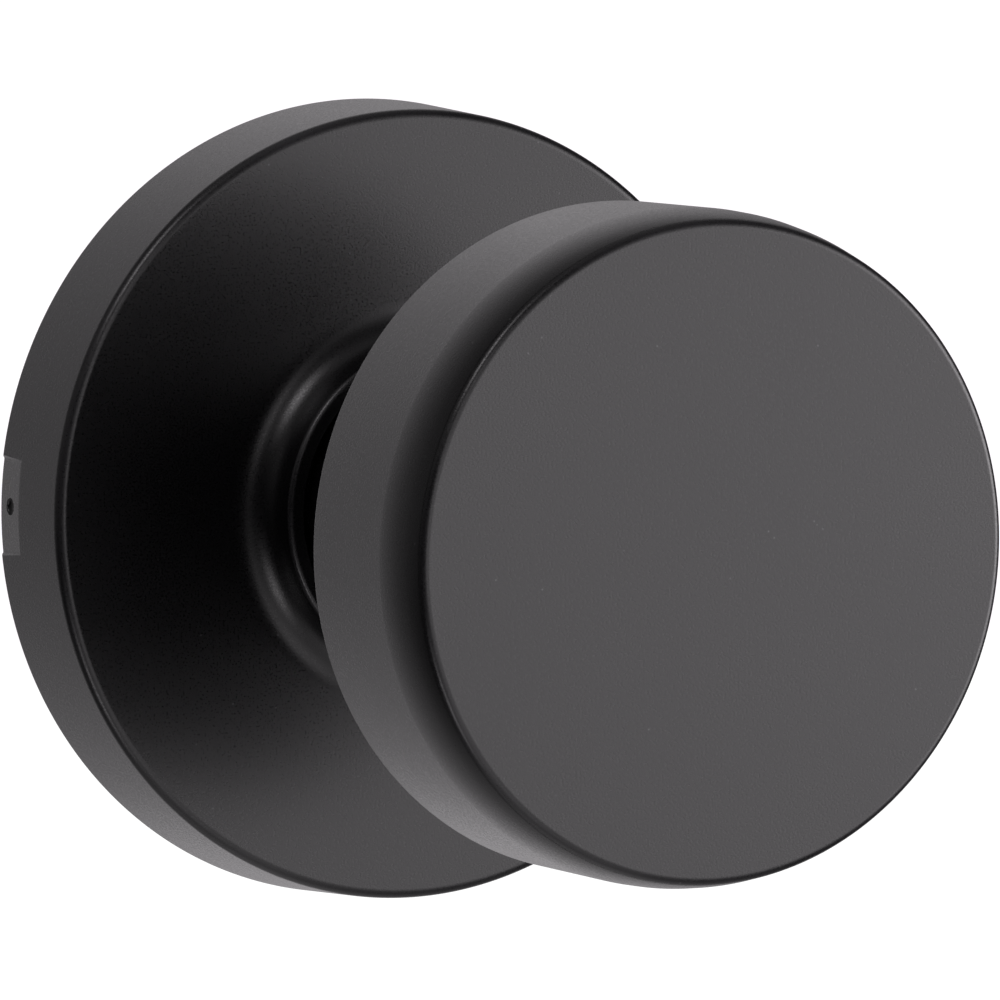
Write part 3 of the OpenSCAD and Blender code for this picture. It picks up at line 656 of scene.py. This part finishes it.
# Half-round bar: an outline across the bar carried along it, drawn in a little at its far end
def makeSpindle():
    low, high = outSpan("spindle")
    bar = {"radius": 4.0, "flat": 1.0, "edge": 0.3, "chamfer": 0.8}
    lean = math.asin(bar["flat"] / bar["radius"])
    t = np.linspace(math.pi - lean, 2 * math.pi + lean, 61)
    across = np.stack([bar["radius"] * np.cos(t), bar["radius"] * np.sin(t)], 1)
    # the two long edges are eased by moving the end points along the flat
    flat = np.linspace(across[-1] - [bar["edge"], 0], across[0] + [bar["edge"], 0], 9)
    across = np.concatenate([across[1:-1], flat])
    out = np.array([low, low + 0.02, low + bar["chamfer"] - 0.02, low + bar["chamfer"],
                    low + bar["chamfer"] + 0.1,
                    *np.linspace(low + 4, high - 1, 24), high - 0.05, high])
    shrink = np.clip((low + bar["chamfer"] - out) / bar["chamfer"], 0, 1) * bar["chamfer"] / bar["radius"]
    scaled = across[None] * (1 - shrink[:, None, None])
    grid = np.stack([scaled[..., 0], -out[:, None] + 0 * scaled[..., 0], scaled[..., 1]], -1)
    piece = meshPiece("spindleBar", grid.reshape(-1, 3) * mm,
                      gridFaces(len(out), len(across), False, True), plated, "knob")
    closeEnds(piece)
    piece.data.shade_smooth()
    piece.data.set_sharp_from_angle(angle=math.radians(30))
    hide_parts("spindle")


makePosts()
makeTube()
makeBushes()
makeWashers()
makeSnapRing()
makeCage()
makeReturnSpring()
makeSpindle()
rivets("cageRivets", "cage_rivets", {"head": 2.0, "tall": 0.7, "body": 1.2, "nearHead": False},
       spots(*rivetCircles["cage"]))
rivets("clipRivets", "clip_rivets", {"head": 1.15, "tall": 0.5, "body": 0.8, "nearHead": False},
       spots(*rivetCircles["clips"]))
for name, node, width in (("chassisPlate", "chassis_plate", 0.12), ("snapClips", "snap_clips", 0.08),
                          ("springDriver", "spring_driver", 0.12), ("spindleSleeve", "spindle_sleeve", 0.12),
                          ("spindlePin", "spindle_pin", 0.2), ("driveInsert", "drive_insert", 0.15),
                          ("knobCatch", "knob_catch", 0.25)):
    softened(name, node, width)
print("pieces behind the door made")

# every CAD node that still shows gets its slot's finish
for name, node in frame["nodes"].items():
    if node.hide_render:
        continue
    node.data.materials.clear()
    node.data.materials.append(finishOf[slotOf[name]])
print("CAD nodes finished")

stageLook = {"floorDrop": 0.25, "floorHalf": 2.0, "backdrop": 1.08,
             "tint": (1.02, 0.98, 1.015, 1)}


# Strength for what the camera sees directly, and another for what lights the object
def seenOrLit(tree, seen, lit):
    mix = addNode(tree, "ShaderNodeMix", data_type="FLOAT")
    tree.links.new(addNode(tree, "ShaderNodeLightPath").outputs["Is Camera Ray"], mix.inputs[0])
    mix.inputs[3].default_value = seen
    if isinstance(lit, float):
        mix.inputs[2].default_value = lit
    else:
        tree.links.new(lit, mix.inputs[2])
    return mix.outputs[0]


# Pale floor that only the camera sees, so that the boxes below it light the object too
def makeFloor():
    mesh = bpy.data.meshes.new("floor")
    h, z = stageLook["floorHalf"], -stageLook["floorDrop"]
    mesh.from_pydata([(-h, -h, z), (h, -h, z), (h, h, z), (-h, h, z)], [], [(0, 1, 2, 3)])
    floor = bpy.data.objects.new("floor", mesh)
    bpy.context.scene.collection.objects.link(floor)
    material, tree, shader = newMaterial("paleFloor", (0.05, 0.05, 0.05), 1.0, specular=0.0)
    shader.inputs["Emission Color"].default_value = (1, 1, 1, 1)
    glow = seenOrLit(tree, stageLook["backdrop"], 0.0)
    tree.links.new(glow, shader.inputs["Emission Strength"])
    mesh.materials.append(material)
    floor.visible_diffuse = floor.visible_glossy = False


# Soft boxes painted in the sky. Each one's strength falls off as the cosine of the angle from its middle,
# raised to its tightness. Turn is the bearing from straight in front of the knob, towards its right.
def makeSky():
    boxes = {
        "upperLeft": {"turn": -50, "lift": 47, "tightness": 90, "strength": 7.0},
        "lowerLeft": {"turn": -52, "lift": -38, "tightness": 90, "strength": 4.0},
        "upperMiddle": {"turn": -15, "lift": 20, "tightness": 60, "strength": 1.9},
        "front": {"turn": 0, "lift": 0, "tightness": 60, "strength": 1.8},
        "frontRight": {"turn": 29, "lift": -3, "tightness": 25, "strength": 1.5},
        "frontRightHigh": {"turn": 29, "lift": 25, "tightness": 25, "strength": 0.55},
        "right": {"turn": 55, "lift": 0, "tightness": 25, "strength": 8.9},
        "left": {"turn": -120, "lift": 3, "tightness": 12, "strength": 0.15},
        "leftRear": {"turn": -151, "lift": 3, "tightness": 12, "strength": 0.08},
        "leftHigh": {"turn": -90, "lift": 32, "tightness": 12, "strength": 0.24},
        "rear": {"turn": 180, "lift": 0, "tightness": 11, "strength": 1.55},
        "leftRearHigh": {"turn": -150, "lift": 32, "tightness": 12, "strength": 0.14},
        "rearHigh": {"turn": 180, "lift": 32, "tightness": 12, "strength": 0.2},
        "rightRearHigh": {"turn": 150, "lift": 32, "tightness": 12, "strength": 0.5},
        "leftRearLow": {"turn": -150, "lift": -32, "tightness": 12, "strength": 0.2},
        "rearLow": {"turn": 180, "lift": -32, "tightness": 12, "strength": 0.16},
        "rightRearLow": {"turn": 150, "lift": -32, "tightness": 12, "strength": 0.6},
        "frontLow": {"turn": 0, "lift": -32, "tightness": 12, "strength": 1.2},
        "top": {"turn": 0, "lift": 90, "tightness": 6, "strength": 0.28},
        "bottom": {"turn": 0, "lift": -90, "tightness": 6, "strength": 0.78}}
    world = bpy.data.worlds.new("softSky")
    bpy.context.scene.world = world
    world.use_nodes = True
    tree = world.node_tree
    where = addNode(tree, "ShaderNodeTexCoord")
    total = None
    for box in boxes.values():
        turn, lift = math.radians(box["turn"]), math.radians(box["lift"])
        middle = (math.sin(turn) * math.cos(lift), -math.cos(turn) * math.cos(lift), math.sin(lift))
        facing = addNode(tree, "ShaderNodeVectorMath", operation="DOT_PRODUCT")
        tree.links.new(where.outputs["Generated"], facing.inputs[0])
        facing.inputs[1].default_value = middle
        ahead = addNode(tree, "ShaderNodeMath", operation="MAXIMUM")
        tree.links.new(facing.outputs["Value"], ahead.inputs[0])
        ahead.inputs[1].default_value = 0.0
        falloff = addNode(tree, "ShaderNodeMath", operation="POWER")
        tree.links.new(ahead.outputs[0], falloff.inputs[0])
        falloff.inputs[1].default_value = box["tightness"]
        share = addNode(tree, "ShaderNodeMath", operation="MULTIPLY_ADD")
        tree.links.new(falloff.outputs[0], share.inputs[0])
        share.inputs[1].default_value = box["strength"]
        share.inputs[2].default_value = 0.0
        if total:
            tree.links.new(total, share.inputs[2])
        total = share.outputs[0]
    background = tree.nodes["Background"]
    tree.links.new(seenOrLit(tree, stageLook["backdrop"], total), background.inputs["Strength"])
    background.inputs["Color"].default_value = stageLook["tint"]


def makeCamera():
    view = {"azimuth": -28.67, "elevation": 5.04, "distance": 0.700, "target": (0, -0.030, -0.00015),
            "lens": 312.36, "shift": (-0.0318, 0.0258)}
    a, e = math.radians(view["azimuth"]), math.radians(view["elevation"])
    away = Vector((math.sin(a) * math.cos(e), -math.cos(a) * math.cos(e), math.sin(e)))
    target = Vector(view["target"])
    data = bpy.data.cameras.new("camera")
    data.lens = view["lens"]
    data.sensor_width = 36
    data.shift_x, data.shift_y = view["shift"]
    data.clip_start, data.clip_end = 0.01, 50
    camera = bpy.data.objects.new("camera", data)
    bpy.context.scene.collection.objects.link(camera)
    camera.location = target + away * view["distance"]
    camera.rotation_euler = (-away).to_track_quat("-Z", "Y").to_euler()
    bpy.context.scene.camera = camera


makeFloor()
makeSky()
makeCamera()
bpy.context.scene.view_settings.view_transform = "Standard"
print("stage set")
